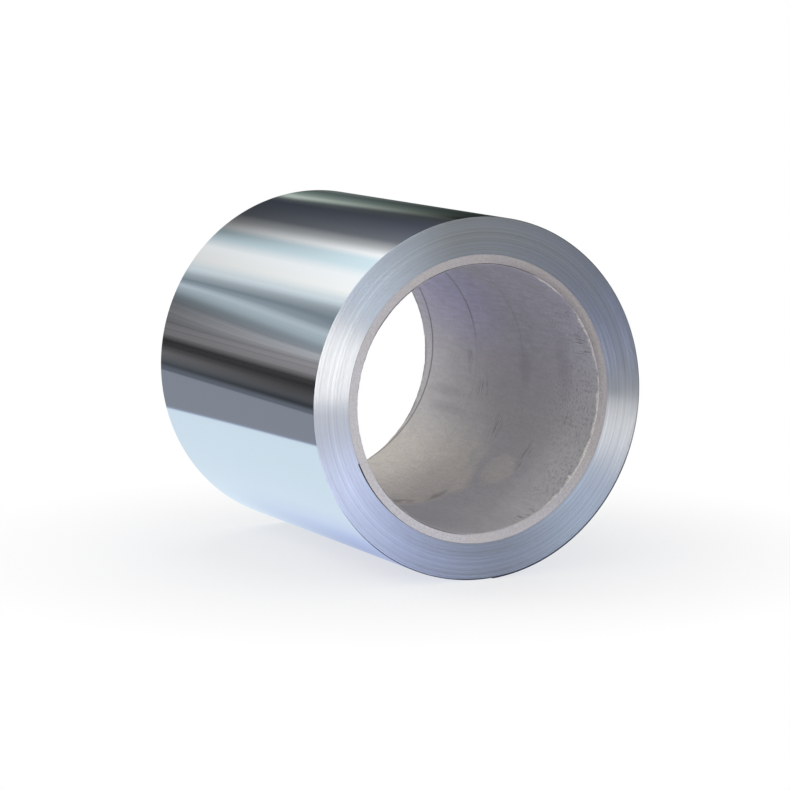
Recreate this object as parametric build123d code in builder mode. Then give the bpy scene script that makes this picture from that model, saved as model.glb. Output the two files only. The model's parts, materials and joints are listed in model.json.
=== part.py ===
"""A coil of bright steel strip wound on a paper core tube, lying on its side.

The frame has +Z up and the winding axis along Y, with the front end of the coil towards -Y.
The origin is on the floor under the middle of the coil. Lengths are in millimetres, angles in
degrees, counter-clockwise from +X as seen from the front end.
"""

import os
from math import acos, atan2, cos, degrees, hypot, radians, sin

from build123d import *

# Steel strip
strip_width = 740.0
strip_thickness = 1.5

# The strip wandered a little sideways while it was wound, so the turns stand in bands, listed
# from the core outwards: the turns in each band, and its side step as a share of the most.
# A negative step is towards the front end.
band_turns = (4, 3, 5, 4, 3, 5, 4, 3, 4, 5, 3, 4)
band_step_shares = (0.35, -0.25, 0.1, -0.6, -1.0, -0.45, 0.15, 0.55, 1.0, 0.5, -0.1, 0.3)
largest_side_step = 0.8

# Inner end of the strip, the lead: the second turn climbs over it and leaves a thin gap
lead_angle = 198.0
lead_climb_angle = 26.0

# Outer end of the strip, the tail: the last turn steps down from it onto the turn below
tail_settle_angle = 40.0

# Paper core tube
core_bore = 508.0
core_wall = 19.0
core_end_recess = 1.5
core_edge_chamfer = 2.0
winding_clearance = 0.2

# Reach of the cuts past the faces that they open
cut_overrun = 5.0

# Radii and lengths that follow
core_radius = core_bore / 2 + core_wall
core_length = strip_width - 2 * core_end_recess
inner_turn_radius = core_radius + winding_clearance
outer_turn_radius = inner_turn_radius + strip_thickness * sum(band_turns)
end_cut_length = strip_width + 2 * (largest_side_step + cut_overrun)

# The tail lies under the coil. Past its edge the turn below is an arc that drifts off centre, and
# the coil rests on both: the floor passes through the tail's edge and touches that arc.
tail_drift = strip_thickness / (1 - cos(radians(tail_settle_angle)))
tail_drift_across = tail_drift * sin(radians(tail_settle_angle))
tail_drift_along = outer_turn_radius - tail_drift * cos(radians(tail_settle_angle))
tail_edge_reach = hypot(tail_drift_along, tail_drift_across)
tail_rest_angle = degrees(
    acos((outer_turn_radius - tail_drift) / tail_edge_reach)
    - atan2(tail_drift_across, tail_drift_along)
)
tail_angle = tail_rest_angle - 90
axis_height = outer_turn_radius * cos(radians(tail_rest_angle))

winding_axis = Axis((0, 0, axis_height), (0, 1, 0))
turning_plane = Plane.XY.offset(axis_height)
end_plane = Plane((0, 0, axis_height), x_dir=(1, 0, 0), z_dir=(0, -1, 0))


def polar_point(radius, angle):
    """Give the point of the end plane at a radius and an angle about the winding axis."""
    return (radius * cos(radians(angle)), radius * sin(radians(angle)))


def strip_end_sliver(wall_radius, end_angle, sweep_angle, depth, clear_radius):
    """Give the sliver beside a strip's end: depth deep there, running out along the wall."""
    far_angle = end_angle + sweep_angle
    drift = depth / (1 - cos(radians(sweep_angle)))
    middle_angle = end_angle + sweep_angle / 2
    middle_radius = wall_radius + drift * (1 - cos(radians(sweep_angle / 2)))
    with BuildSketch() as sliver:
        with BuildLine():
            ThreePointArc(
                polar_point(wall_radius, far_angle),
                polar_point(middle_radius, middle_angle),
                polar_point(wall_radius + depth, end_angle),
            )
            Line(polar_point(wall_radius + depth, end_angle), polar_point(clear_radius, end_angle))
            CenterArc((0, 0), clear_radius, end_angle, sweep_angle)
            Line(polar_point(clear_radius, far_angle), polar_point(wall_radius, far_angle))
        make_face()
    return sliver.sketch


# Gap beside the lead, and step down beside the tail, as seen on the front end
lead_gap = strip_end_sliver(
    inner_turn_radius,
    lead_angle,
    lead_climb_angle,
    strip_thickness,
    inner_turn_radius - cut_overrun,
)
tail_step = strip_end_sliver(
    outer_turn_radius,
    tail_angle,
    -tail_settle_angle,
    -strip_thickness,
    outer_turn_radius + cut_overrun,
)

# Wound strip: the bands of turns, turned as one solid, with both ends of the strip cut in
with BuildPart() as steel_coil:
    with BuildSketch(turning_plane):
        band_radius = inner_turn_radius
        for turns, step_share in zip(band_turns, band_step_shares):
            band_build = turns * strip_thickness
            with Locations((band_radius + band_build / 2, step_share * largest_side_step)):
                Rectangle(band_build, strip_width)
            band_radius += band_build
    revolve(axis=winding_axis)
    with BuildSketch(end_plane):
        add(lead_gap)
        add(tail_step)
    extrude(amount=end_cut_length / 2, both=True, mode=Mode.SUBTRACT)
steel_coil.part.label = "steel_coil"

# Core tube: the paper tube inside the winding, with its bore edges broken
with BuildPart() as core_tube:
    with BuildSketch(turning_plane):
        with Locations((core_bore / 2 + core_wall / 2, 0)):
            Rectangle(core_wall, core_length)
        bore_corners = vertices().group_by(Axis.X)[0]
        chamfer(bore_corners, core_edge_chamfer)
    revolve(axis=winding_axis)
core_tube.part.label = "core_tube"

os.makedirs("parts", exist_ok=True)
for piece in (steel_coil, core_tube):
    export_step(piece.part, f"parts/{piece.part.label}.step")
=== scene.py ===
"""Looks of a coil of bright steel strip on a paper core tube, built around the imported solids.

The strip is modelled flat, with its slit edges, and then wound up turn by turn. The paper core is a
turned board with a spiral liner and torn plies. The stage is a pale floor under a soft studio sky, with
a tent of panels that only the bright steel shows.
"""

import json
from math import atan2, copysign, cos, floor, hypot, pi, radians, sin, sqrt, tan, tau
from types import SimpleNamespace

import bmesh
import bpy
from bpy.props import FloatProperty, FloatVectorProperty, IntProperty, PointerProperty
from mathutils import Matrix, Vector, noise


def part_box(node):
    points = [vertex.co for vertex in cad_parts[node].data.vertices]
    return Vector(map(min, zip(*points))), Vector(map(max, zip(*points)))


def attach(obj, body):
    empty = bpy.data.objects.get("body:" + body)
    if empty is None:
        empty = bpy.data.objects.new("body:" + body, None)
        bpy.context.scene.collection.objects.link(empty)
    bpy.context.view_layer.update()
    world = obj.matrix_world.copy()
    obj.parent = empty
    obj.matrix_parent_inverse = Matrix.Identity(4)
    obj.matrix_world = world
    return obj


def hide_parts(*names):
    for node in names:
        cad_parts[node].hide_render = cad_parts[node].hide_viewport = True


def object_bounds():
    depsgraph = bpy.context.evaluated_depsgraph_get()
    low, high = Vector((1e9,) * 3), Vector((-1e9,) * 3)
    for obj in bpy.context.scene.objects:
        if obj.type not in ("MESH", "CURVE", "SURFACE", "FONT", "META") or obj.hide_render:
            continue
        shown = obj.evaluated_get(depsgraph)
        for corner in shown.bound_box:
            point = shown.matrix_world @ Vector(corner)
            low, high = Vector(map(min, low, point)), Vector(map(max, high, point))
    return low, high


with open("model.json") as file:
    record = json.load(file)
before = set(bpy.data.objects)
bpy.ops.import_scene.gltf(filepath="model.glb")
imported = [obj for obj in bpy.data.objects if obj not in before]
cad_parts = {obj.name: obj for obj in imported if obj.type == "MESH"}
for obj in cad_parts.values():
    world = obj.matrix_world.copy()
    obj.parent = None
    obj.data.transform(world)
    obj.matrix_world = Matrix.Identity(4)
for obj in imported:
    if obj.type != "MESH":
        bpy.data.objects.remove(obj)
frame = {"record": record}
CAD_BOX = [list(corner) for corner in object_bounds()]

bl_info = {
    "name": "Steel coil",
    "version": (1, 0, 0),
    "blender": (4, 5, 0),
    "location": "View3D > Sidebar > Coil",
    "description": "Winds a coil of bright steel strip on a paper core and sets its studio",
    "category": "Object",
}

# Sizes and places that the frame gives, in metres
BORE = next(mount for mount in frame["record"]["mounts"] if mount["name"] == "core_bore")
AXIS_HEIGHT = BORE["pos_m"][2]
BORE_RADIUS = BORE["dims"]["r_mm"] / 1000
COIL_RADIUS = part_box("steel_coil")[1].x
CORE_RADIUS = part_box("core_tube")[1].x
CORE_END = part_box("core_tube")[1].y

# The strip wandered sideways while it was wound: turns in each band from the core outwards, and the
# side step of each band as a share of the most
BAND_TURNS = (4, 3, 5, 4, 3, 5, 4, 3, 4, 5, 3, 4)
BAND_STEP_SHARES = (0.35, -0.25, 0.1, -0.6, -1.0, -0.45, 0.15, 0.55, 1.0, 0.5, -0.1, 0.3)

# The fine wander of single turns: waves in a turn, and the row of the noise that each follows
FLUTTER_WAVES = ((1.7, 0.0, 4.2), (0.6, 9.1, 0.0))

# Turns after which the climb from one turn to the next is quite soft
SOFT_CLIMB_TURNS = 6

# Where a painted shade darkens the front edges of the outermost turns, a dark line round the rim: degrees
# up from three o'clock, how many turns, and how dark
RIM_SHADE_EDGES = ((-54, 2, 0.85), (-100, 1, 0.9), (34, 1, 0.7))
RIM_SHADE = (0.03, 0.03, 0.04)

# Corners that turn by more than this are shaded hard
HARD_CORNER = radians(30)
HARD_STRIP_CORNER = radians(50)

# Steps round the board, and steps along and across one turn of the liner
BOARD_STEPS = 512
LINER_STEPS = 360
LINER_ROWS = 16

# Wear of the bore's edge and of the liner's cut ends: waves in a metre, and the share or row of each
EDGE_WEAR = ((120, 1.0), (340, 0.6))
END_WEAR = ((160, 0), (30, 7))

# Share of the liner's seam that is closed where the liner lies tight
SEAM_CLOSED = 0.8

# Painted shade on the cut board: at the bore's edge at the upper right, at the outer edge by the strip's
# lead, and a painted shadow line under the lip. For each: degrees up from three o'clock, the radius where
# it starts and the one where it is full, the cosines of the angle off those degrees likewise, its
# strength, and the factor on the colour
# Painted shadow line under the lip of the bore
LIP_SHADOW = (BORE_RADIUS + 0.003, BORE_RADIUS + 0.002, 0.86, 0.95, 1.0, (0.28, 0.26, 0.28))
BOARD_PAINTED_SHADE = (
    (38, BORE_RADIUS + 0.012, BORE_RADIUS + 0.004, 0.6, 0.95, 1.0, (0.78, 0.76, 0.8)),
    (-160, CORE_RADIUS - 0.0014, CORE_RADIUS - 0.0006, 0.1, 0.6, 0.6, (0.2, 0.19, 0.22)),
    (-122, *LIP_SHADOW),
    (88, *LIP_SHADOW),
    (128, *LIP_SHADOW),
)
BOARD_STAIN = (0.5, 0.45, 0.42)

# Marks on the bore wall: degrees up from three o'clock, metres deep, and half the reach of each
STAIN_PATCHES = ((-87, 0.400, 8, 0.045), (-80, 0.370, 8, 0.032), (-72, 0.347, 8, 0.020))
SPECKLE_PATCHES = ((-6, 0.06, 26, 0.15), (-40, 0.03, 22, 0.09), (28, 0.05, 18, 0.10))
SCUFF_PATCHES = (
    (-11, 0.465, 8, 0.030),
    (-27, 0.365, 9, 0.026),
    (-36, 0.203, 9, 0.024),
    (-14, 0.110, 4, 0.020),
    (1, 0.530, 8, 0.016),
)
STROKE_PATCHES = ((19, 0.045, 7, 0.045), (-65, 0.022, 7, 0.022), (64, 0.420, 12, 0.060))
# Forward lobe of the painted light from the rear opening
REAR_LIGHT_LOBE = (-46, 0.26, 10, 0.065)

# Patches of painted shade and painted light on the bore wall, with a painted cool cast at the upper right
# and two dark smudges at -16 and -24 degrees: the factor on its colour, and the patches that take it
SHADE_LIGHT_AND_SMUDGE_PATCHES = (
    ((0.88, 0.87, 0.88), ((-6, 0.27, 36, 0.20), (20, 0.24, 28, 0.18), (62, 0.04, 36, 0.15))),
    ((0.87, 0.87, 0.87), ((-8, 0.54, 28, 0.20),)),
    ((0.82, 0.82, 0.82), ((-16, 0.62, 3, 0.10), (-24, 0.60, 3, 0.09))),
    ((0.84, 0.82, 0.86), ((4, 0.293, 11, 0.03), (8, 0.130, 20, 0.035))),
    ((0.84, 0.84, 0.87), ((17, 0.68, 18, 0.07),)),
    ((0.84, 0.84, 0.86), ((-102, 0.14, 26, 0.30),)),
    ((1.2, 1.19, 1.2), ((-46, 0.06, 28, 0.12),)),
    ((0.91, 0.865, 1.12), ((36, 0.52, 34, 0.22),)),
)

# Shades of the bore wall's wear and marks, and of its painted shade in the seams and along the rear edge
CLOUD_SHADE = (0.3, 0.29, 0.3)
FIBRE_SHADE = (0.2, 0.19, 0.2)
GRIT_SHADE = (0.15, 0.14, 0.15)
SPECKLE_SHADE = (0.08, 0.07, 0.07)
SEAM_SHADE = (0.12, 0.11, 0.13)
REAR_EDGE_DARK = (0.1, 0.09, 0.1)
SCUFF_SHADE = (0.05, 0.045, 0.045)

# Torn plies at the mouth of the bore: degrees at the middle, half the angle, and width in metres
TORN_PLIES = ((-26, 34, 0.0084), (24, 16, 0.0070), (55, 9, 0.0056), (-68, 6, 0.0044), (118, 3, 0.0050))

# How a torn ply leans, as shares of its width: in towards the axis, and back into the bore
TORN_INWARDS = 0.55
TORN_BACK = 0.85

# Panels of the reflection tent: degrees up from the right-hand foot, the glow there, and the share of
# it that is left a step further back
TENT_PANELS = (
    (4, (0.30, 0.34, 0.38), 1.0),
    (15, (0.72, 0.78, 0.82), 1.0),
    (28, (0.11, 0.13, 0.125), 1.2),
    (44, (0.05, 0.065, 0.06), 1.5),
    (51, (0.08, 0.105, 0.097), 1.6),
    (56, (0.13, 0.16, 0.14), 1.7),
    (58.5, (0.20, 0.235, 0.21), 1.8),
    (61, (0.22, 0.25, 0.225), 1.75),
    (65, (0.068, 0.078, 0.08), 1.3),
    (72, (0.056, 0.064, 0.081), 0.85),
    (80, (0.086, 0.095, 0.115), 0.75),
    (88, (0.132, 0.14, 0.157), 0.68),
    (93, (0.385, 0.395, 0.395), 0.64),
    (97, (0.77, 0.775, 0.77), 0.62),
    (100, (0.55, 0.67, 0.71), 0.64),
    (104, (0.66, 0.80, 0.84), 0.82),
    (109, (1.02, 1.04, 1.04), 0.92),
    (116, (1.01, 1.01, 0.97), 0.9),
    (120.5, (0.79, 0.88, 0.91), 0.95),
    (127.5, (0.22, 0.27, 0.305), 1.0),
    (132.5, (0.58, 0.67, 0.73), 1.0),
    (136, (0.43, 0.51, 0.55), 0.95),
    (141, (0.22, 0.25, 0.275), 0.8),
    (145, (0.41, 0.42, 0.44), 0.68),
    (150, (0.29, 0.285, 0.295), 0.8),
    (157, (0.265, 0.25, 0.255), 0.88),
    (160.5, (0.02, 0.018, 0.019), 0.8),
    (164, (0.04, 0.038, 0.039), 1.15),
    (168.5, (0.13, 0.126, 0.13), 1.22),
    (172, (0.115, 0.12, 0.13), 1.1),
    (175.5, (0.045, 0.052, 0.063), 1.2),
    (178, (0.145, 0.165, 0.205), 0.95),
)
BROAD_STREAK = (0.1, 0.11, 0.12)
FINE_STREAK = (0.11, 0.105, 0.105)

# A step back along the tent, and the most steps either way
PANEL_STEP = 0.3
MOST_STEPS = 1.5

# The line where the glows are as listed: its angle and place at the tent's top, and its bend off it
TENT_TOP = radians(98)
TENT_MIDDLE = 1.21
TENT_BEND = 0.49

# Lean of the slanting panels in a step, and the least share of a glow
PANEL_LEAN = 0.045
LEAST_SHARE = 0.1

# Steps of the tent's wall and collar, and how far the collar laps past the wall to keep light out
TENT_STEPS = 90
COLLAR_STEPS = 96
COLLAR_LAP = 1.02

# Colour of the front panel, and the shares of its glow at its foot and its top
PANEL_COLOUR = (1.0, 0.967, 0.91)
PANEL_FOOT_SHARE = 0.7
PANEL_TOP_SHARE = 0.25

# The dim room round the tent as bright steel shows it, from straight down to straight up
ROOM_COLOURS = (
    (0.30, (0.40, 0.46, 0.62)),
    (0.48, (0.39, 0.38, 0.40)),
    (0.58, (0.41, 0.40, 0.41)),
    (0.66, (0.375, 0.375, 0.345)),
    (0.78, (0.385, 0.39, 0.32)),
)
LEFT_WALL_COLOURS = ((0.46, (1.20, 1.22, 1.30)), (0.56, (1.25, 1.33, 1.45)), (0.72, (1.50, 1.70, 1.95)))

# The floor as bright steel shows it, beside and in front of the coil: metres to the right of the axis,
# and colour, between the left and right ends of the ramp
# Close to the axis the sheet darkens: the coil's painted shadow on the floor, seen in the steel
SHEET_COLOURS = (
    (-0.40, (0.78, 0.92, 1.01)),
    (-0.26, (0.77, 0.89, 1.01)),
    (-0.21, (0.68, 0.78, 0.98)),
    (-0.17, (0.52, 0.61, 0.88)),
    (-0.13, (0.44, 0.51, 0.74)),
)
FLOOR_COLOURS = (
    (-0.70, (1.40, 1.46, 1.66)),
    (-0.40, (1.66, 1.80, 2.30)),
    (-0.15, (1.00, 1.14, 1.66)),
    (0.05, (0.58, 0.67, 0.94)),
    (0.40, (0.62, 0.74, 1.02)),
    (0.70, (0.72, 0.84, 1.12)),
    (0.95, (0.90, 0.93, 1.05)),
    (1.20, (1.80, 1.75, 1.70)),
    (1.50, (2.15, 2.08, 2.00)),
    (1.95, (1.50, 1.46, 1.42)),
)
RAMP_LEFT = -1.0
RAMP_RIGHT = 2.0

# The sheet's left edge: its lean, the outer and inner line of its hem, and where the sheet is full
SHEET_LEAN = -0.145
HEM_OUTER = -0.735
HEM_INNER = -0.722
SHEET_FULL = -0.706

# Shades of the floor in the steel: the sheet further back, dark floor far in front, the bright floor at
# the far left, and the slate floor past the sheet with its hem
BACK_SHEET = (0.78, 0.91, 1.01)
DARK_FLOOR = (0.13, 0.13, 0.14)
BRIGHT_FLOOR = (5.1, 5.1, 5.2)
SLATE_FLOOR = (0.275, 0.30, 0.35)
SLATE_HEM = (0.35, 0.40, 0.56)
FLOOR_REACH = 6.0

# Softboxes for the matt surfaces: name, place, watts and colour
WHITE = (1.0, 1.0, 1.0)
SOFTBOX_SIZE = 1.8
SOFTBOXES = (
    ("front_softbox", (0.3, -3.6, 0.7), 48.0, WHITE),
    ("rear_left_softbox", (-2.5, 1.75, 2.25), 38.0, (1.0, 0.98, 0.95)),
    ("rear_right_softbox", (2.0, 2.9, 0.7), 36.0, WHITE),
)
SENSOR_WIDTH = 36.0

# Settings that a user may change


def metres(name, description, default):
    """Give a length as a setting."""
    return FloatProperty(name=name, description=description, default=default, precision=5, unit="LENGTH")


def degrees(name, description, default):
    """Give an angle as a setting."""
    return FloatProperty(name=name, description=description, default=radians(default), subtype="ANGLE")


def paint(name, description, default):
    """Give a colour as a setting."""
    return FloatVectorProperty(name=name, description=description, default=default, subtype="COLOR")


class StripSettings(bpy.types.PropertyGroup):
    """Sizes and colours of the wound strip."""

    thickness: metres("Thickness", "Pitch of the turns, the strip with its hairline gap", 0.0015)
    gap: metres("Gap", "Air between two turns", 0.00003)
    side_step: metres("Side step", "Most that a band of turns stands to one side", 0.0008)
    flutter: metres("Flutter", "Fine side to side wander from one turn to the next", 0.00015)
    outer_round: metres(
        "Outer round", "Rolled-over corner that the slitter leaves on the outer face", 0.0004
    )
    inner_round: metres("Inner round", "Small break of the corner on the inner face", 0.00012)
    slant: degrees("Slant", "Lean of the slit edge towards the outer face", 15)
    lead_angle: degrees("Lead angle", "Where the strip starts on the core", 202.4)
    tail_angle: degrees("Tail angle", "Where the strip ends, under the coil", -85.3)
    lead_climb: degrees("Lead climb", "Angle over which the second turn climbs onto the lead", 32)
    steps: IntProperty(name="Steps", description="Segments in each turn", default=192, min=24)
    sheet_colour: paint("Sheet", "Colour of the bright faces", (0.74, 0.76, 0.79))
    edge_colour: paint("Slit edge", "Colour of the slit edges", (0.73, 0.75, 0.78))


class CoreSettings(bpy.types.PropertyGroup):
    """Sizes and colours of the paper core."""

    liner: metres("Liner", "Thickness of the innermost ply", 0.0005)
    ply_pitch: metres("Ply pitch", "Length of core that one turn of the liner covers", 0.2)
    seam: metres("Seam", "Open seam between two turns of the liner", 0.0009)
    seam_depth: metres("Seam depth", "Depth of a seam from the front end at three o'clock", 0.3013)
    chamfer: metres("Chamfer", "Worn edge of the bore", 0.0012)
    fray: metres("Fray", "Raggedness of the liner's cut ends", 0.0016)
    ragged: metres("Ragged", "Most that the cut edge of the bore is worn away", 0.0011)
    dent: metres("Dent", "Depth that the strip's lead presses into the board", 0.0013)
    board_colour: paint("Board", "Colour of the cut board", (0.525, 0.51, 0.545))
    # Painted shade on the board, darkest at the upper right
    board_painted_shade: paint("Board shade", "Worn board at the upper right", (0.57, 0.54, 0.51))
    # Painted shade on the outer ply, in the gap under the strip's lead
    lead_gap_shade: paint("Wrap", "Oiled outer ply under the strip", (0.03, 0.03, 0.04))
    liner_colour: paint("Clean liner", "Colour of the clean liner", (0.615, 0.60, 0.60))
    # Painted cool light over the upper bore wall
    liner_cool_cast: paint("Upper liner", "Cooler liner over the bore", (0.60, 0.58, 0.685))
    # Painted light from the rear opening, low on the bore wall towards the back
    liner_rear_light: paint("Warm liner", "Faded liner towards the back", (0.85, 0.79, 0.70))
    liner_stain: paint("Stain", "Damp stain on the liner", (0.42, 0.36, 0.33))
    torn_colour: paint("Torn paper", "Colour of torn fibres", (0.68, 0.65, 0.62))


class StageSettings(bpy.types.PropertyGroup):
    """Camera, light and floor."""

    azimuth: degrees("Azimuth", "Way round to the left of the front end", 26.14)
    elevation: degrees("Elevation", "Height of the view over the level", 7.79)
    distance: metres("Distance", "From the camera to the front end", 6.205)
    aim_left: metres("Aim left", "Front end's place to the right of the aim", 0.1606)
    aim_up: metres("Aim up", "Front end's place below the aim", 0.0092)
    lens: FloatProperty(name="Lens", description="Focal length", default=151.06, unit="CAMERA")
    sky: FloatProperty(name="Sky", description="Level of the plain light all round", default=0.6)
    tent_radius: metres("Tent radius", "Reach of the half-round tent of panels", 1.2)
    tent_front: metres("Tent front", "Where the tent starts", -0.3702)
    tent_gap: metres("Tent gap", "Air round the coil there", 0.003)
    tent_back: metres("Tent back", "Where the tent ends", 3.2)
    panel_turn: degrees("Panel turn", "Way round to the left to the front panel", 49)
    panel_distance: metres("Panel distance", "From the coil to the front panel", 3.7)
    panel_width: metres("Panel width", "Width of the front panel", 2.6)
    panel_height: metres("Panel height", "Height of the front panel", 2.6)
    panel_foot: metres("Panel foot", "Foot of the panel over the floor", 0.03)
    panel_fade: metres("Panel fade", "Height over which its top fades", 0.95)
    panel_rise: metres("Panel rise", "Height where it glows most", 1.1)
    panel_glow: FloatProperty(name="Panel glow", description="Glow of the front panel", default=4.3)
    floor_colour: paint("Floor", "Colour of the pale floor", (0.86, 0.88, 0.9))


# Nodes


def is_linked(value):
    """Tell a node's output from a plain value."""
    return isinstance(value, bpy.types.NodeSocket)


def set_sockets(node, values):
    """Give the sockets of a node a value or a link."""
    for socket, value in values.items():
        if is_linked(value):
            node.id_data.links.new(value, node.inputs[socket])
        else:
            node.inputs[socket].default_value = value


def add_node(tree, kind, values=None, **properties):
    """Add a node, set its properties, and give its sockets a value or a link."""
    made = tree.nodes.new(kind)
    for name, value in properties.items():
        setattr(made, name, value)
    set_sockets(made, values or {})
    return made


def follow(kind, values, **properties):
    """Add a node after others, in the tree of those that are linked to it, and give its outputs."""
    tree = next(value.id_data for value in values.values() if is_linked(value))
    return add_node(tree, kind, values, **properties).outputs


def opaque(colour):
    """Give a plain colour with its alpha, and a linked one as it is."""
    return colour if is_linked(colour) else (*colour[:3], 1.0)


def calculate(operation, *values, clamp=False):
    """Give the result of a Math node."""
    return follow("ShaderNodeMath", dict(enumerate(values)), operation=operation, use_clamp=clamp)[0]


def multiply(product, *factors):
    """Give the product of several values."""
    for factor in factors:
        product = calculate("MULTIPLY", product, factor)
    return product


def facing(angle, middle):
    """Give the cosine of the angle off a middle one."""
    return calculate("COSINE", calculate("SUBTRACT", angle, middle))


def map_range(value, low, high, to_low=0.0, to_high=1.0):
    """Give a value moved from one range to another, and held inside it."""
    sockets = {"Value": value, 1: low, 2: high, 3: to_low, 4: to_high}
    return follow("ShaderNodeMapRange", sockets, clamp=True)[0]


def angle_range(angle, start, end):
    """Give 0 to 1 from one angle to another, both in degrees."""
    return map_range(angle, radians(start), radians(end))


def mix_colours(factor, first, second, blend_type="MIX"):
    """Give two colours mixed by a factor."""
    sockets = {0: factor, 6: opaque(first), 7: opaque(second)}
    return follow("ShaderNodeMix", sockets, data_type="RGBA", blend_type=blend_type)[2]


def mix_shaders(factor, first, second):
    """Give two shaders mixed by a factor."""
    return follow("ShaderNodeMixShader", {0: factor, 1: first, 2: second})[0]


def colour_ramp(factor, stops):
    """Give the colour of a ramp whose stops are (place, colour)."""
    made = add_node(factor.id_data, "ShaderNodeValToRGB", {"Fac": factor})
    ramp = made.color_ramp
    ramp.interpolation = "LINEAR"
    while len(ramp.elements) < len(stops):
        ramp.elements.new(1.0)
    for element, (place, colour) in zip(ramp.elements, stops):
        element.position = place
        element.color = opaque(colour)
    return made.outputs["Color"]


def mapped(place, **change):
    """Give coordinates that are moved, turned or stretched."""
    return follow("ShaderNodeMapping", {"Vector": place, **change})[0]


def noise_over(place, scale, detail, **others):
    """Give a noise over a surface."""
    sockets = {"Vector": place, "Scale": scale, "Detail": detail, **others}
    return follow("ShaderNodeTexNoise", sockets)["Fac"]


def noise_along(place, scale, detail):
    """Give a noise along a line."""
    sockets = {"W": multiply(place, scale), "Scale": 1.0, "Detail": detail}
    return follow("ShaderNodeTexNoise", sockets, noise_dimensions="1D")["Fac"]


def relief(height, strength, distance):
    """Give the normal of a fine relief."""
    sockets = {"Height": height, "Strength": strength, "Distance": distance}
    return follow("ShaderNodeBump", sockets)[0]


def emission(tree, colour, strength, kind="ShaderNodeEmission"):
    """Give the shader of a glow, or with another kind that of a sky."""
    return add_node(tree, kind, {"Color": opaque(colour), "Strength": strength}).outputs[0]


def parts_of(vector):
    """Give the X, Y and Z of coordinates."""
    return follow("ShaderNodeSeparateXYZ", {0: vector})


def object_place(tree):
    """Give the Object coordinates."""
    return add_node(tree, "ShaderNodeTexCoord").outputs["Object"]


def strip_map(tree):
    """Give the strip's own map: metres along it and across it."""
    return add_node(tree, "ShaderNodeUVMap", uv_map="strip").outputs["UV"]


def coil_place(tree):
    """Give the angle about the winding axis, the depth from the core's front end, and the Object place."""
    place = object_place(tree)
    parts = parts_of(place)
    height = calculate("SUBTRACT", parts["Z"], AXIS_HEIGHT)
    angle = calculate("ARCTAN2", height, parts["X"])
    depth = calculate("ADD", parts["Y"], CORE_END)
    return SimpleNamespace(angle=angle, depth=depth, place=place)


def length_of(vector):
    """Give the length of a vector."""
    return follow("ShaderNodeVectorMath", {0: vector}, operation="LENGTH")["Value"]


def axis_radius(place):
    """Give the distance from the winding axis."""
    parts = parts_of(mapped(place, Location=(0, 0, -AXIS_HEIGHT)))
    return length_of(follow("ShaderNodeCombineXYZ", {"X": parts["X"], "Y": parts["Z"]})[0])


def new_material(name):
    """Give a material, its node tree and its Principled shader."""
    material = bpy.data.materials.new(name)
    material.use_nodes = True
    tree = material.node_tree
    return material, tree, tree.nodes["Principled BSDF"]


def stage_material(name):
    """Give a material and its node tree, with no node in it yet."""
    material, tree = new_material(name)[:2]
    tree.nodes.clear()
    return material, tree


# Meshes


def smooth_step(value):
    """Ease from 0 to 1."""
    value = min(1.0, max(0.0, value))
    return value * value * (3 - 2 * value)


def shade_smooth(bm):
    """Shade a bmesh smooth, with its corners hard."""
    for face in bm.faces:
        face.smooth = True
    for edge in bm.edges:
        edge.smooth = edge.calc_face_angle(0) < HARD_CORNER


def new_verts(made):
    """Give the vertices among what a bmesh operator made."""
    return [part for part in made["geom"] if isinstance(part, bmesh.types.BMVert)]


def mesh_object(name, bm, materials):
    """Turn a bmesh into an object of the scene."""
    mesh = bpy.data.meshes.new(name)
    bm.to_mesh(mesh)
    bm.free()
    for material in materials:
        mesh.materials.append(material)
    made = bpy.data.objects.new(name, mesh)
    bpy.context.scene.collection.objects.link(made)
    return made


def add_piece(name, bm, materials, replaced=None):
    """Turn a bmesh into a piece of the coil that rides with it."""
    piece = mesh_object(name, bm, materials)
    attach(piece, "root")
    if replaced:
        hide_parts(replaced)


def add_stage_piece(name, bm, material, in_steel_only=False):
    """Turn a bmesh into a piece of the stage, if wanted one that only bright steel shows."""
    piece = mesh_object(name, bm, [material])
    if in_steel_only:
        for ray in ("camera", "diffuse", "transmission", "shadow"):
            setattr(piece, "visible_" + ray, False)


# Steel strip


def bright_sheet_material(settings):
    """Mirror-bright rolled faces, with a faint grain along the strip."""
    material, tree, shader = new_material("bright_sheet")
    strip_uv = strip_map(tree)
    grain = noise_over(mapped(strip_uv, Scale=(1.2, 900.0, 1.0)), 1.0, 3.0)
    sway = noise_over(mapped(strip_uv, Scale=(6.0, 3.0, 1.0)), 1.0, 1.0)
    finish = {
        "Base Color": opaque(settings.sheet_colour),
        "Metallic": 1.0,
        "Roughness": map_range(grain, 0.3, 0.7, 0.045, 0.075),
        "Normal": relief(sway, 0.08, 0.002),
    }
    set_sockets(shader, finish)
    return material


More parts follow.
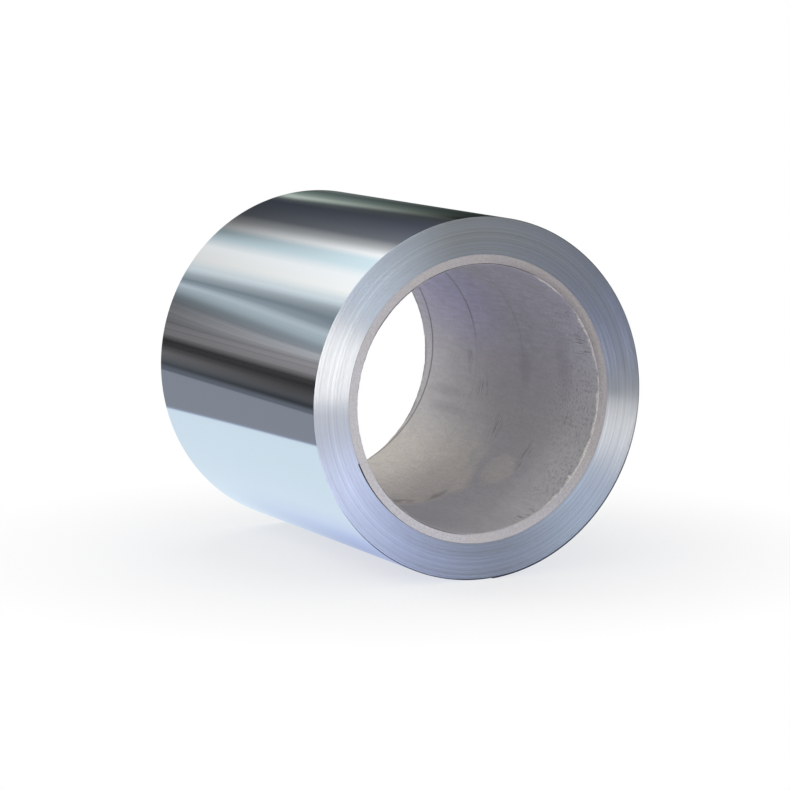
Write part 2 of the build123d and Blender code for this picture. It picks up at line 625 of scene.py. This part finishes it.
def slit_edge_material(settings, wound_turns, turn_length):
    """Slit edges of the turns: brushed along the strip, so light spreads across it; the outermost front
    edges get a painted shade.
    """
    material, tree, shader = new_material("slit_edge")
    strip_uv = strip_map(tree)
    tone = noise_over(mapped(strip_uv, Scale=(0.2, 0.0, 0.0)), 1.0, 4.0, Roughness=0.62)
    darker = [channel * 0.74 for channel in settings.edge_colour]
    colour = mix_colours(map_range(tone, 0.35, 0.65), darker, settings.edge_colour)
    spot = coil_place(tree)
    at_front = map_range(spot.depth, 0.4, 0.3)
    turn = calculate("DIVIDE", parts_of(strip_uv)["X"], turn_length)
    turns_left = calculate("SUBTRACT", wound_turns, turn)
    # Painted shade: a dark line on the front edges of the outermost turns at the rim
    for middle, turns, dark in RIM_SHADE_EDGES:
        beside = map_range(facing(spot.angle, radians(middle)), 0.6, 0.88, 0.0, dark)
        outermost = map_range(turns_left, turns + 0.02, turns - 0.02)
        colour = mix_colours(multiply(at_front, beside, outermost), colour, RIM_SHADE)
    finish = {
        "Base Color": colour,
        "Metallic": 1.0,
        "Roughness": 0.38,
        "Anisotropic": 1.0,
        "Anisotropic Rotation": 0.25,
        "Tangent": add_node(tree, "ShaderNodeTangent", direction_type="UV_MAP", uv_map="strip").outputs[0],
    }
    set_sockets(shader, finish)
    return material


def flat_strip(settings, wound_turns, turn_length):
    """Model the strip flat: its length along X, its width along Y, its outer face up."""
    half_width = CAD_BOX[1][1] - settings.side_step
    body = settings.thickness - settings.gap
    bm = bmesh.new()
    bmesh.ops.create_grid(bm, x_segments=round(wound_turns * settings.steps), y_segments=1, size=0.5)
    bmesh.ops.translate(bm, vec=(0.5, 0, 0), verts=bm.verts)
    bmesh.ops.scale(bm, vec=(wound_turns * turn_length, 2 * half_width, 1), verts=bm.verts)
    bmesh.ops.solidify(bm, geom=bm.faces[:], thickness=body)
    bmesh.ops.translate(bm, vec=(0, 0, body), verts=bm.verts)

    def long_edges(height):
        return [
            edge
            for edge in bm.edges
            if abs(edge.verts[0].co.x - edge.verts[1].co.x) > body
            and all(abs(abs(vert.co.y) - half_width) < settings.gap for vert in edge.verts)
            and all(abs(vert.co.z - height) < settings.gap for vert in edge.verts)
        ]

    for height, radius, segments in ((body, settings.outer_round, 2), (0, settings.inner_round, 1)):
        bmesh.ops.bevel(
            bm, geom=long_edges(height), offset=radius, offset_type="OFFSET", segments=segments,
            profile=0.5, affect="EDGES", material=-1,
        )
    for vert in bm.verts:
        vert.co.y -= copysign(tan(settings.slant) * vert.co.z, vert.co.y)
    return bm


def dress_strip(bm):
    """Give the flat strip its map, its two finishes and its hard edges."""
    bm.normal_update()
    uv = bm.loops.layers.uv.new("strip")
    for face in bm.faces:
        face.smooth = True
        face.material_index = 0 if abs(face.normal.z) > 0.98 else 1
        for loop in face.loops:
            loop[uv].uv = (loop.vert.co.x, loop.vert.co.y + loop.vert.co.z)
    for edge in bm.edges:
        finishes = {face.material_index for face in edge.link_faces}
        edge.smooth = len(finishes) == 1 and edge.calc_face_angle(0) < HARD_STRIP_CORNER


def band_step(turn):
    """Give the side step of a turn as a share: the last turn of a band crosses to the next."""
    ends_at = 0
    following = BAND_STEP_SHARES[1:] + BAND_STEP_SHARES[-1:]
    for turns, share, next_share in zip(BAND_TURNS, BAND_STEP_SHARES, following):
        ends_at += turns
        if turn < ends_at:
            return share + (next_share - share) * smooth_step(turn - ends_at + 1)
    return BAND_STEP_SHARES[-1]


def wind_up(bm, settings, turn_length):
    """Wind the flat strip outwards, clockwise as seen from the front end, each turn on the last."""
    turns = sum(BAND_TURNS)
    inner_radius = COIL_RADIUS - turns * settings.thickness
    first_climb = settings.lead_climb / tau
    last_climb = 1 - (settings.lead_angle - settings.tail_angle) / tau
    for vert in bm.verts:
        turn = max(0.0, vert.co.x / turn_length)
        layer = floor(turn)
        climb = first_climb + (last_climb - first_climb) * layer / (turns - 1)
        run = max(0.0, (turn - layer - 1 + climb) / climb)
        softness = min(1.0, layer / SOFT_CLIMB_TURNS)
        rise = run * (1 - softness) + smooth_step(run) * softness
        radius = inner_radius + settings.thickness * (layer + rise) + vert.co.z
        flutter = sum(noise.noise(Vector((turn * waves, *row))) for waves, *row in FLUTTER_WAVES)
        side = band_step(turn) * settings.side_step + flutter * settings.flutter
        angle = settings.lead_angle - tau * turn
        vert.co = (radius * cos(angle), vert.co.y + side, AXIS_HEIGHT + radius * sin(angle))


class COIL_OT_wind_strip(bpy.types.Operator):
    """Wind the bright steel strip"""

    bl_idname = "coil.wind_strip"
    bl_label = "Wind strip"

    def execute(self, context):
        settings = context.scene.coil_strip
        wound_turns = sum(BAND_TURNS) - 1 + (settings.lead_angle - settings.tail_angle) / tau
        turn_length = tau * (CORE_RADIUS + COIL_RADIUS) / 2
        bm = flat_strip(settings, wound_turns, turn_length)
        dress_strip(bm)
        wind_up(bm, settings, turn_length)
        bm.normal_update()
        edges = slit_edge_material(settings, wound_turns, turn_length)
        add_piece("wound_strip", bm, [bright_sheet_material(settings), edges], "steel_coil")
        return {"FINISHED"}


# Paper core


def board_material(settings):
    """Cut end of the core: pale pressed board with fine plies, and painted shade at the upper right and
    along its edges.
    """
    material, tree, shader = new_material("core_board")
    spot = coil_place(tree)
    radius = axis_radius(spot.place)
    plies = noise_along(radius, 1400.0, 1.0)
    pulp = noise_over(spot.place, 260.0, 4.0)
    stain = noise_over(spot.place, 9.0, 3.0)
    dark = [channel * 0.7 for channel in settings.board_colour]
    light = [min(1.0, channel * 1.22) for channel in settings.board_colour]
    tone = calculate("ADD", multiply(plies, 0.5), multiply(pulp, 0.5))
    colour = mix_colours(map_range(tone, 0.32, 0.68), dark, light)
    colour = mix_colours(map_range(stain, 0.45, 0.7, 0.0, 0.3), colour, BOARD_STAIN)
    # Painted shade: the board darkens towards the upper right
    upper_right = map_range(facing(spot.angle, radians(38)), -1.0, 1.0)
    shade = calculate("POWER", upper_right, 1.2)
    colour = mix_colours(shade, colour, settings.board_painted_shade, "MULTIPLY")
    # Painted shade along the board's edges, and a painted shadow line under the lip
    for middle, start, full, near, nearest, strength, tint in BOARD_PAINTED_SHADE:
        beside = map_range(facing(spot.angle, radians(middle)), near, nearest, 0.0, strength)
        edge_amount = multiply(map_range(radius, start, full), beside)
        colour = mix_colours(edge_amount, colour, tint, "MULTIPLY")
    finish = {"Base Color": colour, "Roughness": 0.85, "Normal": relief(tone, 0.5, 0.0006)}
    set_sockets(shader, finish)
    return material


def wrap_material(settings, strip):
    """Outer ply of the core, with a painted shade in the gap where the strip starts."""
    material, tree, shader = new_material("core_wrap")
    from_lead = facing(coil_place(tree).angle, strip.lead_angle + strip.lead_climb / 2)
    in_lead_gap = map_range(from_lead, cos(strip.lead_climb), cos(strip.lead_climb / 2))
    colour = mix_colours(in_lead_gap, settings.board_colour, settings.lead_gap_shade)
    set_sockets(shader, {"Base Color": colour, "Roughness": 0.7})
    return material


def core_patch(spot, patch):
    """Give a soft patch of the bore wall: (angle, depth, half its angle, half its depth)."""
    angle, depth, half_angle, half_depth = patch
    off_angle = calculate("SUBTRACT", spot.angle, radians(angle))
    across = calculate("DIVIDE", off_angle, radians(half_angle))
    along = calculate("DIVIDE", calculate("SUBTRACT", spot.depth, depth), half_depth)
    reach = calculate("ADD", multiply(across, across), multiply(along, along))
    return calculate("SUBTRACT", 1.0, reach, clamp=True)


def core_patches(spot, patches):
    """Give several soft patches as one."""
    joined = core_patch(spot, patches[0])
    for patch in patches[1:]:
        joined = calculate("MAXIMUM", joined, core_patch(spot, patch))
    return joined


def rubbed_lines(unrolled, scale, lean):
    """Give thin rubbed lines on the unrolled bore wall."""
    drawn_out = mapped(unrolled, Rotation=(0, 0, lean), Scale=scale)
    return map_range(noise_over(drawn_out, 1.0, 1.0), 0.56, 0.64)


def rear_light_pool(spot, cloud):
    """Give the painted light on the liner from the rear opening: low down towards the back, and one lobe
    further forward.
    """
    wavy_depth = calculate("ADD", spot.depth, map_range(cloud, 0.3, 0.7, -0.06, 0.06))
    low_down = multiply(angle_range(spot.angle, -26, -46), angle_range(spot.angle, -150, -115))
    lit_low = multiply(map_range(wavy_depth, 0.31, 0.365), low_down)
    lobe = map_range(core_patch(spot, REAR_LIGHT_LOBE), 0.1, 0.5)
    return calculate("MAXIMUM", lit_low, multiply(lobe, 0.6))


def painted_seam_shade(settings, spot, height):
    """Give the painted shade in the liner's spiral seam: it shows overhead and far back, and hardly
    elsewhere.
    """
    behind_seam = calculate("SUBTRACT", spot.depth, settings.seam_depth)
    plies = calculate("DIVIDE", behind_seam, settings.ply_pitch)
    turns = calculate("ADD", calculate("DIVIDE", spot.angle, tau), plies)
    off_seam = multiply(calculate("PINGPONG", turns, 0.5), settings.ply_pitch)
    overhead = map_range(height, 0.15, 0.4, 0.08, 1.0)
    far_back = map_range(spot.depth, 0.56, 0.64)
    shown = calculate("MAXIMUM", overhead, far_back)
    shown = multiply(shown, map_range(spot.depth, 0.2, 0.45, 0.0, 0.7))
    return multiply(map_range(off_seam, 0.0048, 0.0008), shown)


def liner_material(settings):
    """Inner wall of the core: grey liner paper with a painted cool cast above, painted light from the rear
    opening below, patches of painted shade and light, painted shade in the seams and at the rear edge, and
    scuffs.
    """
    material, tree, shader = new_material("core_liner")
    spot = coil_place(tree)
    height = calculate("SINE", spot.angle)
    around = multiply(spot.angle, BORE_RADIUS)
    unrolled = follow("ShaderNodeCombineXYZ", {"X": around, "Y": spot.depth})[0]
    fibres = noise_over(mapped(unrolled, Scale=(120, 24, 1)), 1.0, 4.0, Distortion=0.8)
    cloud = noise_over(spot.place, 7.0, 5.0)
    blotch = noise_over(spot.place, 34.0, 4.0)
    grit = noise_over(spot.place, 170.0, 2.0)

    # Painted light: the upper bore wall takes a cool cast
    upper = map_range(height, -0.3, 0.6)
    colour = mix_colours(upper, settings.liner_colour, settings.liner_cool_cast)
    # Painted shade and painted light in patches, and two dark smudges
    for tint, patches in SHADE_LIGHT_AND_SMUDGE_PATCHES:
        colour = mix_colours(core_patches(spot, patches), colour, tint, "MULTIPLY")

    stained = multiply(core_patches(spot, STAIN_PATCHES), map_range(blotch, 0.38, 0.6))
    fibrous = multiply(map_range(fibres, 0.32, 0.7, 1.0, 0.0), map_range(height, 0.0, 0.5, 0.16, 0.36))
    speckled = multiply(core_patches(spot, SPECKLE_PATCHES), map_range(grit, 0.54, 0.72))
    # Painted shade along the liner's rear edge
    rear_edge_shade = multiply(map_range(spot.depth, 0.724, 0.733), map_range(blotch, 0.4, 0.56))
    scuffs = rubbed_lines(unrolled, (22, 330, 1), 0.25)
    strokes = rubbed_lines(unrolled, (260, 14, 1), 0.1)
    rubbed = calculate(
        "MAXIMUM",
        multiply(core_patches(spot, SCUFF_PATCHES), scuffs),
        multiply(core_patches(spot, STROKE_PATCHES), strokes),
    )
    # Real stains, grain and scuffs, with painted light and painted shade among them
    wear_and_painted_light = (
        (multiply(rear_light_pool(spot, cloud), 0.85), settings.liner_rear_light),
        (multiply(stained, 0.9), settings.liner_stain),
        (map_range(cloud, 0.3, 0.7, 0.18, 0.0), CLOUD_SHADE),
        (fibrous, FIBRE_SHADE),
        (map_range(grit, 0.4, 0.65, 0.0, 0.13), GRIT_SHADE),
        (multiply(speckled, 0.45), SPECKLE_SHADE),
        (painted_seam_shade(settings, spot, height), SEAM_SHADE),
        (multiply(rear_edge_shade, 0.5), REAR_EDGE_DARK),
        (multiply(rubbed, 0.8), SCUFF_SHADE),
    )
    for amount, shade in wear_and_painted_light:
        colour = mix_colours(amount, colour, shade)

    sunken = calculate("SUBTRACT", fibres, multiply(rubbed, 0.5))
    finish = {
        "Base Color": colour,
        "Roughness": map_range(cloud, 0.3, 0.7, 0.5, 0.72),
        "Normal": relief(sunken, 0.4, 0.0005),
    }
    set_sockets(shader, finish)
    return material


def torn_material(settings):
    """Torn plies at the mouth of the bore: pale fluffy fibres."""
    material, tree, shader = new_material("torn_paper")
    fluff = noise_over(object_place(tree), 300.0, 4.0)
    darker = [channel * 0.6 for channel in settings.torn_colour]
    colour = mix_colours(map_range(fluff, 0.3, 0.6), darker, settings.torn_colour)
    finish = {"Base Color": colour, "Roughness": 0.95, "Normal": relief(fluff, 0.6, 0.0006)}
    set_sockets(shader, finish)
    return material


def core_board(settings, strip):
    """Turn the board of the core, inside the winding and under its liner, and dent it at the lead."""
    wall = BORE_RADIUS + settings.liner
    crisp = settings.chamfer / 4
    corner_points = (
        (wall, -CORE_END + settings.chamfer),
        (wall + settings.chamfer, -CORE_END),
        (CORE_RADIUS - crisp, -CORE_END),
        (CORE_RADIUS, -CORE_END + crisp),
        (CORE_RADIUS, CORE_END - crisp),
        (CORE_RADIUS - crisp, CORE_END),
        (wall + settings.chamfer, CORE_END),
        (wall, CORE_END - settings.chamfer),
    )
    bm = bmesh.new()
    corners = [bm.verts.new((radius, along, AXIS_HEIGHT)) for radius, along in corner_points]
    for first, second in zip(corners, corners[1:] + corners[:1]):
        bm.edges.new((first, second))
    bmesh.ops.spin(
        bm, geom=bm.verts[:] + bm.edges[:], cent=(0, 0, AXIS_HEIGHT), axis=(0, 1, 0), dvec=(0, 0, 0),
        angle=tau, steps=BOARD_STEPS, use_merge=True,
    )
    bmesh.ops.remove_doubles(bm, verts=bm.verts, dist=crisp / 10)
    bmesh.ops.recalc_face_normals(bm, faces=bm.faces)
    shade_smooth(bm)
    for face in bm.faces:
        middle = face.calc_center_median()
        face.material_index = 1 if hypot(middle.x, middle.z - AXIS_HEIGHT) > CORE_RADIUS - crisp else 0
    for vert in bm.verts:
        arm = Vector((vert.co.x, 0, vert.co.z - AXIS_HEIGHT))
        past_lead = (atan2(arm.z, arm.x) - strip.lead_angle) % tau
        if arm.length > CORE_RADIUS - 2 * crisp and past_lead < strip.lead_climb:
            vert.co -= arm.normalized() * settings.dent * (1 - past_lead / strip.lead_climb)
        if abs(arm.length - wall - settings.chamfer) < crisp and vert.co.y < 0:
            edge_amount = sum(share * noise.noise(arm * waves) for waves, share in EDGE_WEAR)
            vert.co += arm.normalized() * settings.ragged * max(0.0, edge_amount)
    return bm


def core_liner(settings):
    """Lay the liner ply out flat, trim it at the core's ends, fray it and roll it into the bore."""
    bm = bmesh.new()
    wall = BORE_RADIUS + settings.liner
    width = settings.ply_pitch - settings.seam
    trim = CORE_END - settings.chamfer
    turns = 2 * CORE_END / settings.ply_pitch + 2
    length = turns * tau * wall
    bmesh.ops.create_grid(bm, x_segments=round(turns * LINER_STEPS), y_segments=LINER_ROWS, size=0.5)
    bmesh.ops.translate(bm, vec=(0.5, 0.5, 0), verts=bm.verts)
    bmesh.ops.scale(bm, vec=(length, width, 1), verts=bm.verts)
    start = -CORE_END + settings.seam_depth
    start += settings.ply_pitch * (floor((CORE_END - start) / settings.ply_pitch) + 1)
    for vert in bm.verts:
        edge_place = start - settings.ply_pitch * vert.co.x / (tau * wall)
        low_down = smooth_step(0.5 - sin(vert.co.x / wall))
        near_front = smooth_step(-8 * edge_place)
        near_rear = smooth_step(6 * edge_place - 1)
        tight = settings.seam * SEAM_CLOSED * max(low_down * (1 - near_rear), near_front)
        vert.co.y *= (width + tight) / width
        vert.co.y += edge_place + (settings.seam - tight) / 2
    for end in (-trim, trim):
        bmesh.ops.bisect_plane(
            bm,
            geom=bm.verts[:] + bm.edges[:] + bm.faces[:],
            dist=settings.seam / 100,
            plane_co=(0, end, 0),
            plane_no=(0, end, 0),
            clear_outer=True,
        )
    for vert in bm.verts:
        if abs(abs(vert.co.y) - trim) < settings.seam / 10:
            torn = sum(noise.noise(Vector((vert.co.x * waves, vert.co.y, row))) for waves, row in END_WEAR)
            vert.co.y += torn * settings.fray * (1 if vert.co.y > 0 else -1)
    bmesh.ops.solidify(bm, geom=bm.faces[:], thickness=settings.liner)
    for vert in bm.verts:
        angle = vert.co.x / wall
        radius = wall + vert.co.z
        vert.co = (radius * cos(angle), vert.co.y, AXIS_HEIGHT + radius * sin(angle))
    bmesh.ops.recalc_face_normals(bm, faces=bm.faces)
    shade_smooth(bm)
    return bm


def torn_plies(settings):
    """Peel narrow tongues of torn paper off the mouth of the bore."""
    bm = bmesh.new()
    wall = BORE_RADIUS + settings.chamfer
    front = -CORE_END + settings.chamfer * 0.2
    for middle, half_angle, width in TORN_PLIES:
        before = set(bm.verts)
        bmesh.ops.create_grid(bm, x_segments=max(12, 4 * half_angle), y_segments=4, size=0.5)
        for vert in set(bm.verts) - before:
            share = 2 * vert.co.x
            across = vert.co.y + 0.5
            angle = radians(middle + half_angle * share)
            fine = noise.noise(Vector((angle * 50, middle, across)))
            broad = noise.noise(Vector((angle * 15, middle, 3.0)))
            ragged = min(1.2, max(0.1, 0.6 + 0.8 * fine + 0.9 * broad))
            reach = across * width * ragged * max(0.03, 1 - share**4)
            radius = wall - reach * TORN_INWARDS
            vert.co = (radius * cos(angle), front + reach * TORN_BACK, AXIS_HEIGHT + radius * sin(angle))
    lifted = new_verts(bmesh.ops.extrude_face_region(bm, geom=bm.faces[:]))
    bmesh.ops.translate(bm, vec=(0, -settings.liner * 0.6, 0), verts=lifted)
    bmesh.ops.recalc_face_normals(bm, faces=bm.faces)
    for face in bm.faces:
        face.smooth = True
    return bm


class COIL_OT_make_core(bpy.types.Operator):
    """Make the paper core with its liner"""

    bl_idname = "coil.make_core"
    bl_label = "Make core"

    def execute(self, context):
        settings = context.scene.coil_core
        strip = context.scene.coil_strip
        board = core_board(settings, strip)
        finishes = [board_material(settings), wrap_material(settings, strip)]
        add_piece("core_board", board, finishes, "core_tube")
        add_piece("core_liner", core_liner(settings), [liner_material(settings)])
        add_piece("torn_plies", torn_plies(settings), [torn_material(settings)])
        return {"FINISHED"}


# Stage


def studio_sky(settings):
    """Light the world: white to the camera, plain for matt surfaces, a dim room for bright steel."""
    world = bpy.data.worlds.new("studio")
    bpy.context.scene.world = world
    world.use_nodes = True
    tree = world.node_tree
    tree.nodes.clear()
    way = parts_of(add_node(tree, "ShaderNodeTexCoord").outputs["Generated"])
    upwards = map_range(way["Z"], -1.0, 1.0)
    walls = colour_ramp(upwards, ROOM_COLOURS)
    left_wall = colour_ramp(upwards, LEFT_WALL_COLOURS)
    room = mix_colours(map_range(way["X"], 0.3, -0.35), walls, left_wall)
    rays = add_node(tree, "ShaderNodeLightPath").outputs
    levels = ((WHITE, settings.sky), (room, 1.0), (WHITE, 1.0))
    plain, dim, white = [emission(tree, *level, "ShaderNodeBackground") for level in levels]
    lit = mix_shaders(rays["Is Glossy Ray"], plain, dim)
    seen = calculate("MAXIMUM", rays["Is Camera Ray"], rays["Is Transmission Ray"])
    shown = mix_shaders(seen, lit, white)
    add_node(tree, "ShaderNodeOutputWorld", {"Surface": shown})


def tent_material():
    """Panels of the tent: they glow by their angle, and dim or brighten and lean towards the back."""
    material, tree = stage_material("tent_panels")
    parts = parts_of(object_place(tree))
    angle = calculate("ARCTAN2", parts["Z"], parts["X"])
    off_top = calculate("SUBTRACT", angle, TENT_TOP)
    middle = calculate("MULTIPLY_ADD", multiply(off_top, off_top), TENT_BEND, TENT_MIDDLE)
    back = calculate("SUBTRACT", parts["Y"], middle)
    most = MOST_STEPS * PANEL_STEP
    back = map_range(back, -most, most, -MOST_STEPS, MOST_STEPS)
    left_lean = multiply(angle_range(angle, 126, 132), angle_range(angle, 152, 144))
    leaning = calculate("SUBTRACT", left_lean, angle_range(angle, 74, 68))
    angle = calculate("MULTIPLY_ADD", multiply(leaning, back), PANEL_LEAN, angle)
    turn = calculate("DIVIDE", angle, pi)
    colour = colour_ramp(turn, [(place / 180, glow) for place, glow, share in TENT_PANELS])
    shares = colour_ramp(turn, [(place / 180, [share] * 3) for place, glow, share in TENT_PANELS])
    broad = map_range(noise_along(angle, 20.0, 1.5), 0.3, 0.7, 0.2, 0.0)
    broad = multiply(broad, angle_range(angle, 116, 124))
    fine = map_range(noise_along(angle, 75.0, 1.0), 0.5, 0.68, 0.0, 0.5)
    fine = multiply(fine, angle_range(angle, 138, 144))
    for streaks, shade in ((broad, BROAD_STREAK), (fine, FINE_STREAK)):
        colour = mix_colours(streaks, colour, shade)
    change = multiply(calculate("SUBTRACT", shares, 1.0), back)
    strength = calculate("MAXIMUM", calculate("ADD", change, 1.0), LEAST_SHARE)
    add_node(tree, "ShaderNodeOutputMaterial", {"Surface": emission(tree, colour, strength)})
    return material


def add_tent(settings):
    """Stand a half-round tent of panels beside and over the coil, seen only in the bright steel.

    Its front is closed round the coil just behind the front end, so that the side never shows the
    bright panel that lights the front end.
    """
    bm = bmesh.new()
    ends = (settings.tent_front, settings.tent_back)
    foot = [bm.verts.new((settings.tent_radius, along, 0)) for along in ends]
    hem = bm.edges.new(foot)
    bmesh.ops.spin(
        bm, geom=foot + [hem], cent=(0, 0, 0), axis=(0, -1, 0), dvec=(0, 0, 0), angle=pi, steps=TENT_STEPS
    )
    hole = COIL_RADIUS + settings.tent_gap
    lap = settings.tent_radius * COLLAR_LAP
    upright = Matrix.Translation((0, settings.tent_front, AXIS_HEIGHT)) @ Matrix.Rotation(pi / 2, 4, "X")
    ring = bmesh.ops.create_circle(bm, cap_ends=False, radius=hole, segments=COLLAR_STEPS, matrix=upright)
    edges = list({edge for vert in ring["verts"] for edge in vert.link_edges})
    for vert in new_verts(bmesh.ops.extrude_edge_only(bm, edges=edges)):
        way = Vector((vert.co.x, 0, vert.co.z - AXIS_HEIGHT)).normalized()
        rise = AXIS_HEIGHT * way.z
        reach = sqrt(rise**2 - AXIS_HEIGHT**2 + lap**2) - rise
        if way.z < 0:
            reach = max(hole, min(reach, -AXIS_HEIGHT / way.z))
        vert.co = (way.x * reach, settings.tent_front, AXIS_HEIGHT + way.z * reach)
    add_stage_piece("tent", bm, tent_material(), in_steel_only=True)


def panel_material(settings):
    """Front panel: it glows most at middle height."""
    material, tree = stage_material("front_panel")
    height = parts_of(object_place(tree))["Z"]
    top = settings.panel_foot + settings.panel_height
    full = settings.panel_glow
    foot, fade = settings.panel_foot, top - settings.panel_fade
    rising = map_range(height, foot, settings.panel_rise, full * PANEL_FOOT_SHARE, full)
    falling = map_range(height, fade, top, full, full * PANEL_TOP_SHARE)
    strength = calculate("MINIMUM", rising, falling)
    add_node(tree, "ShaderNodeOutputMaterial", {"Surface": emission(tree, PANEL_COLOUR, strength)})
    return material


def add_front_panel(settings):
    """Stand a tall white panel at the front left, seen only in the steel: it lights the slit edges."""
    place = Vector((-sin(settings.panel_turn), -cos(settings.panel_turn), 0)) * settings.panel_distance
    place.z = settings.panel_foot + settings.panel_height / 2
    bm = bmesh.new()
    bmesh.ops.create_grid(bm, x_segments=1, y_segments=1, size=0.5)
    bmesh.ops.scale(bm, vec=(settings.panel_width, settings.panel_height, 1), verts=bm.verts)
    bmesh.ops.rotate(bm, matrix=Matrix.Rotation(pi / 2, 3, "X"), verts=bm.verts)
    bmesh.ops.rotate(bm, matrix=Matrix.Rotation(-settings.panel_turn, 3, "Z"), verts=bm.verts)
    bmesh.ops.translate(bm, vec=place, verts=bm.verts)
    add_stage_piece("front_panel", bm, panel_material(settings), in_steel_only=True)


def floor_ramp(across, colours):
    """Give the colour of the floor by its place to the right of the axis."""
    span = RAMP_RIGHT - RAMP_LEFT
    return colour_ramp(across, [((place - RAMP_LEFT) / span, colour) for place, colour in colours])


def floor_in_steel(parts, far):
    """Give the floor as bright steel shows it: a blue sheet beside the coil with the coil's painted shadow
    close by, and slate past its hem.
    """
    across = map_range(parts["X"], RAMP_LEFT, RAMP_RIGHT)
    further_back = map_range(parts["Y"], -0.08, 0.55)
    # The sheet's ramp holds the coil's painted shadow close to the axis
    beside = mix_colours(further_back, floor_ramp(across, SHEET_COLOURS), BACK_SHEET)
    in_front = multiply(map_range(parts["Y"], -1.15, -1.55), map_range(parts["X"], -0.38, -0.08))
    front = mix_colours(in_front, floor_ramp(across, FLOOR_COLOURS), DARK_FLOOR)
    far_left = multiply(map_range(far, 1.2, 2.0), map_range(parts["X"], -0.5, -1.0))
    front = mix_colours(far_left, front, BRIGHT_FLOOR)
    sheet = mix_colours(map_range(parts["Y"], -0.25, -0.5), beside, front)
    leaning = calculate("ADD", parts["X"], multiply(parts["Y"], SHEET_LEAN))
    slate = mix_colours(map_range(leaning, HEM_OUTER, HEM_INNER), SLATE_FLOOR, SLATE_HEM)
    return mix_colours(map_range(leaning, HEM_INNER, SHEET_FULL), slate, sheet)


def floor_material(settings):
    """Pale floor: white to the camera with the coil's soft shadow, a blue sheet in the bright steel."""
    material, tree = stage_material("pale_floor")
    rays = add_node(tree, "ShaderNodeLightPath").outputs
    place = object_place(tree)
    far = length_of(place)
    matt = add_node(tree, "ShaderNodeBsdfDiffuse", {"Color": opaque(settings.floor_colour)}).outputs[0]
    clear = map_range(far, 0.35, 0.95, 0.6, 1.0)
    shown = mix_shaders(clear, matt, emission(tree, WHITE, 1.0))
    mirrored = emission(tree, floor_in_steel(parts_of(place), far), 1.0)
    lit = mix_shaders(rays["Is Glossy Ray"], matt, mirrored)
    final = mix_shaders(rays["Is Camera Ray"], lit, shown)
    add_node(tree, "ShaderNodeOutputMaterial", {"Surface": final})
    return material


def add_floor(settings):
    """Lay the pale floor under the coil."""
    bm = bmesh.new()
    bmesh.ops.create_grid(bm, x_segments=8, y_segments=8, size=FLOOR_REACH)
    add_stage_piece("floor", bm, floor_material(settings))


def add_softbox(name, place, power, colour):
    """Hang a square softbox that faces the coil, for the matt surfaces."""
    lamp = bpy.data.lights.new(name, "AREA")
    lamp.shape = "SQUARE"
    lamp.size = SOFTBOX_SIZE
    lamp.energy = power
    lamp.color = colour
    holder = bpy.data.objects.new(name, lamp)
    holder.location = place
    aim = Vector((0, 0, AXIS_HEIGHT)) - Vector(place)
    holder.rotation_euler = aim.to_track_quat("-Z", "Y").to_euler()
    holder.visible_camera = False
    holder.visible_glossy = False
    bpy.context.scene.collection.objects.link(holder)


def add_camera(settings):
    """Set the camera at the photograph's viewing angle."""
    turn, tilt = -settings.azimuth, settings.elevation
    right = Vector((cos(turn), sin(turn), 0))
    forward = Vector((-sin(turn) * cos(tilt), cos(turn) * cos(tilt), -sin(tilt)))
    up = right.cross(forward)
    front = Vector((0, -CAD_BOX[1][1], AXIS_HEIGHT))
    place = front - right * settings.aim_left + up * settings.aim_up - forward * settings.distance
    lens = bpy.data.cameras.new("camera")
    lens.lens = settings.lens
    lens.sensor_width = SENSOR_WIDTH
    camera = bpy.data.objects.new("camera", lens)
    camera.matrix_world = Matrix.Translation(place) @ Matrix((right, up, -forward)).transposed().to_4x4()
    bpy.context.scene.collection.objects.link(camera)
    bpy.context.scene.camera = camera


class COIL_OT_set_stage(bpy.types.Operator):
    """Set the floor, the studio light and the camera"""

    bl_idname = "coil.set_stage"
    bl_label = "Set stage"

    def execute(self, context):
        settings = context.scene.coil_stage
        context.scene.view_settings.view_transform = "Standard"
        studio_sky(settings)
        add_floor(settings)
        add_tent(settings)
        add_front_panel(settings)
        for softbox in SOFTBOXES:
            add_softbox(*softbox)
        add_camera(settings)
        return {"FINISHED"}


class COIL_PT_sidebar(bpy.types.Panel):
    """Sizes, colours and steps of the coil"""

    bl_idname = "COIL_PT_sidebar"
    bl_label = "Steel coil"
    bl_space_type = "VIEW_3D"
    bl_region_type = "UI"
    bl_category = "Coil"

    def draw(self, context):
        groups = (
            (context.scene.coil_strip, COIL_OT_wind_strip),
            (context.scene.coil_core, COIL_OT_make_core),
            (context.scene.coil_stage, COIL_OT_set_stage),
        )
        for settings, operator in groups:
            box = self.layout.box()
            for name in settings.__annotations__:
                box.prop(settings, name)
            box.operator(operator.bl_idname)


SETTINGS = {"coil_strip": StripSettings, "coil_core": CoreSettings, "coil_stage": StageSettings}
CLASSES = (*SETTINGS.values(), COIL_OT_wind_strip, COIL_OT_make_core, COIL_OT_set_stage, COIL_PT_sidebar)


def register():
    """Register the classes and hang their settings on the scene."""
    for entry in CLASSES:
        bpy.utils.register_class(entry)
    for name, group in SETTINGS.items():
        setattr(bpy.types.Scene, name, PointerProperty(type=group))


def unregister():
    """Take the settings and the classes away."""
    for name in SETTINGS:
        delattr(bpy.types.Scene, name)
    for entry in reversed(CLASSES):
        bpy.utils.unregister_class(entry)


def main():
    """Build the coil and its stage."""
    register()
    bpy.ops.coil.wind_strip()
    bpy.ops.coil.make_core()
    bpy.ops.coil.set_stage()


if __name__ == "__main__":
    main()
